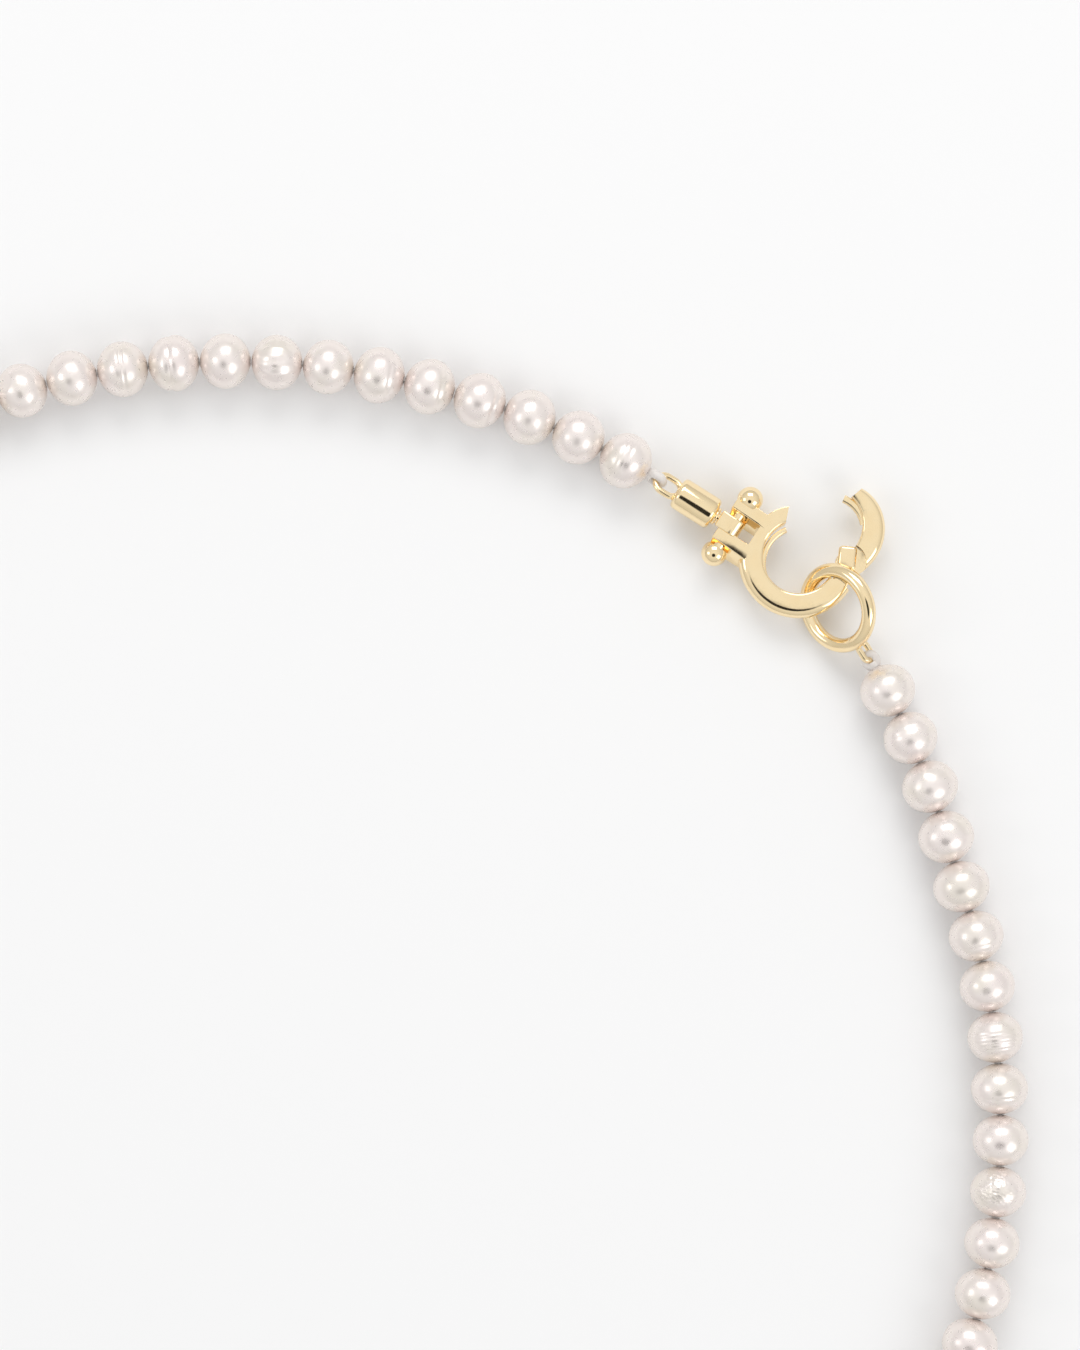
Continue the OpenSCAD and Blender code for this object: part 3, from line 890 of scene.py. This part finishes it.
@dataclass
class EndRing:
    """The ring that hangs on the hook, its bail and the thread tied to it."""

    gold: bpy.types.Material
    thread: bpy.types.Material
    wire: float = 1.25

    def ring_place(self) -> tuple[Matrix, float]:
        """Returns the ring's frame, Z along its axis, and its middle radius in mm."""
        points = solids_of("linked_ring")[0]
        middle = points.mean(axis=0)
        _, ways = np.linalg.eigh(np.cov((points - middle).T))
        axis = Vector(ways[:, 0])
        axis = axis if axis.z > 0 else -axis
        reach = np.linalg.norm(points - middle, axis=1).max() / MM - self.wire / 2
        start = Vector(joint_named("bend_right_1")["pos_m"]) - Vector(middle)
        return frame_at(Vector(middle), start - axis * start.dot(axis), axis), reach

    def bail_place(self) -> Matrix:
        """Returns the bail's frame: X from the strand's end towards the ring."""
        end = Vector(joint_named("bend_right_1")["pos_m"])
        low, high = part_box("linked_ring")
        middle = (Vector(low) + Vector(high)) / 2
        along = middle - end
        along.z = 0
        return frame_at(end, along, Vector((0, 0, 1)))

    def build(self, body_of: dict[str, str]) -> None:
        """Builds the ring, bail and thread loop in their places."""
        place, radius = self.ring_place()
        ring = wire_link(radius, self.wire)
        bead = turned_rod(0.42, 0.9, (radius - 0.1, 0.1, 0.1), 0.2, "Z", 24, 4)
        unite(ring, bead)
        smooth(ring, 50)
        settle(ring, "linked_ring_round", self.gold, body_of["linked_ring"], place,
               ("linked_ring",))
        place = self.bail_place()
        bail = wire_link(0.5, 0.55, 0.75)
        bail.data.transform(Matrix.Translation((1.25, 0, 0)) @ Matrix.Rotation(math.radians(38), 4, "X"))
        neck = turned_rod(0.58, 0.9, (2.75, 0, 0.05), 0.2, "X", 32, 4)
        unite(bail, neck)
        smooth(bail, 50)
        settle(bail, "ring_bail_wire", self.gold, body_of["ring_bail"], place, ("ring_bail",))
        loop = wire_link(0.5, 0.72, 0.15)
        loop.data.transform(Matrix.Translation((0.62, 0, 0)) @ Matrix.Rotation(math.radians(-10), 4, "X"))
        stem = turned_rod(0.52, 0.6, (0.22, 0, 0), 0.12, "X", 24, 3)
        unite(loop, stem)
        smooth(loop, 50)
        settle(loop, "thread_loop_right_bound", self.thread, body_of["thread_loop_right"], place,
               ("thread_loop_right",))
        LOG.info("end ring: ring, bail and thread loop")


# ---- studio ----

@dataclass
class Softbox:
    """A soft light: the azimuth and angle from the zenith that it comes from, its sizes and strength."""

    name: str
    azimuth: float
    from_top: float
    width: float
    height: float
    watts: float
    distance: float = 0.6

    def hang(self, aim: Vector) -> None:
        """Hangs the light so that it faces a point."""
        around, down = math.radians(self.azimuth), math.radians(self.from_top)
        way = Vector((math.sin(down) * math.cos(around), math.sin(down) * math.sin(around), math.cos(down)))
        light = bpy.data.lights.new(self.name, "AREA")
        light.shape = "RECTANGLE"
        light.size = self.width
        light.size_y = self.height
        light.energy = self.watts
        holder = bpy.data.objects.new(self.name, light)
        holder.location = aim + way * self.distance
        holder.rotation_euler = way.to_track_quat("Z", "Y").to_euler()
        holder.visible_camera = False
        bpy.context.scene.collection.objects.link(holder)


@dataclass
class Studio:
    """Floor, light and camera."""

    paper: bpy.types.Material
    view_middle: tuple[float, float] = (26.69 * MM, 39.45 * MM)
    view_height: float = 117.4 * MM
    camera_height: float = 0.5
    strand_height: float = 2.5 * MM

    def floor(self) -> None:
        """Lays a wide sheet of paper under the necklace, its edge curled a little."""
        deselect()
        bpy.ops.mesh.primitive_grid_add(x_subdivisions=24, y_subdivisions=24, size=4)
        piece = bpy.context.object
        move_points(piece, lambda p: Vector((p.x, p.y, -0.0001 + 0.25 * bump_between(p.length, 1.6, 2.8))))
        piece.name = "studio_floor"
        piece.data.materials.append(self.paper)
        smooth(piece, 60)

    def sky(self) -> None:
        """Lights the room evenly, with a dim opening a little below the zenith."""
        world = bpy.data.worlds.new("studio_room")
        bpy.context.scene.world = world
        world.use_nodes = True
        tree = world.node_tree
        shade = tree.nodes["Background"]
        way = add_node(tree, "ShaderNodeTexCoord", {}, {}).outputs["Generated"]
        dim_way = Vector((-0.12, -0.36, 1)).normalized()
        near = add_node(tree, "ShaderNodeVectorMath", {"operation": "DOT_PRODUCT", 1: dim_way}, {0: way})
        hole = add_node(tree, "ShaderNodeMapRange",
                        {"interpolation_type": "SMOOTHSTEP", "From Min": math.cos(math.radians(19)),
                         "From Max": math.cos(math.radians(12)), "To Min": 1.0, "To Max": 0.03},
                        {"Value": near.outputs["Value"]})
        high = add_node(tree, "ShaderNodeSeparateXYZ", {}, {0: way})
        low = add_node(tree, "ShaderNodeMapRange",
                       {"From Min": 0.0, "From Max": 1.0, "To Min": 0.62, "To Max": 0.96},
                       {"Value": high.outputs["Z"]})
        both = add_node(tree, "ShaderNodeMath", {"operation": "MULTIPLY"},
                        {0: hole.outputs["Result"], 1: low.outputs["Result"]})
        tree.links.new(both.outputs["Value"], shade.inputs["Strength"])
        shade.inputs["Color"].default_value = linear("FAFAFA")

    def camera(self) -> None:
        """Sets the camera straight above, looking down."""
        lens = bpy.data.cameras.new("above")
        lens.sensor_fit = "VERTICAL"
        lens.sensor_height = 36
        lens.lens = 36 * self.camera_height / self.view_height
        lens.clip_start = 0.01
        lens.clip_end = 20
        holder = bpy.data.objects.new("above", lens)
        holder.location = (*self.view_middle, self.camera_height + self.strand_height)
        bpy.context.scene.collection.objects.link(holder)
        bpy.context.scene.camera = holder

    def build(self) -> None:
        """Sets up the whole studio."""
        self.camera()
        self.floor()
        self.sky()
        aim = Vector((0.03, 0.04, 0))
        Softbox("top_box", 88, 46, 0.4, 0.24, 0.9).hang(aim)
        Softbox("left_box", 178, 53, 0.2, 0.2, 0.22).hang(aim)
        Softbox("right_box", -38, 53, 0.3, 0.3, 0.5).hang(aim)
        bpy.context.scene.view_settings.view_transform = "Standard"
        LOG.info("studio: floor, sky, three soft lights and the camera")


def node_bodies() -> dict[str, str]:
    """Returns the CAD body of every node, from the record."""
    bodies = frame["record"]["behaviour"]["bodies"]
    return {node: body for body, nodes in bodies.items() for node in nodes}


def main() -> None:
    """Builds the necklace and its studio."""
    logging.basicConfig(level=logging.INFO, format="%(message)s")
    body_of = node_bodies()
    gold, nacre, thread = PolishedGold().make(), Nacre().make(), BeadingThread().make()
    Studio(StudioPaper().make()).build()
    clasp = SwivelClasp(gold)
    clasp.build(body_of)
    Swivel(gold, thread, clasp).build(body_of)
    EndRing(gold, thread).build(body_of)
    PearlStrand(nacre, body_of).build()
    for name, node in frame["nodes"].items():
        if name.startswith("thread_"):
            node.data.materials.clear()
            node.data.materials.append(thread)
    deselect()


if __name__ == "__main__":
    main()
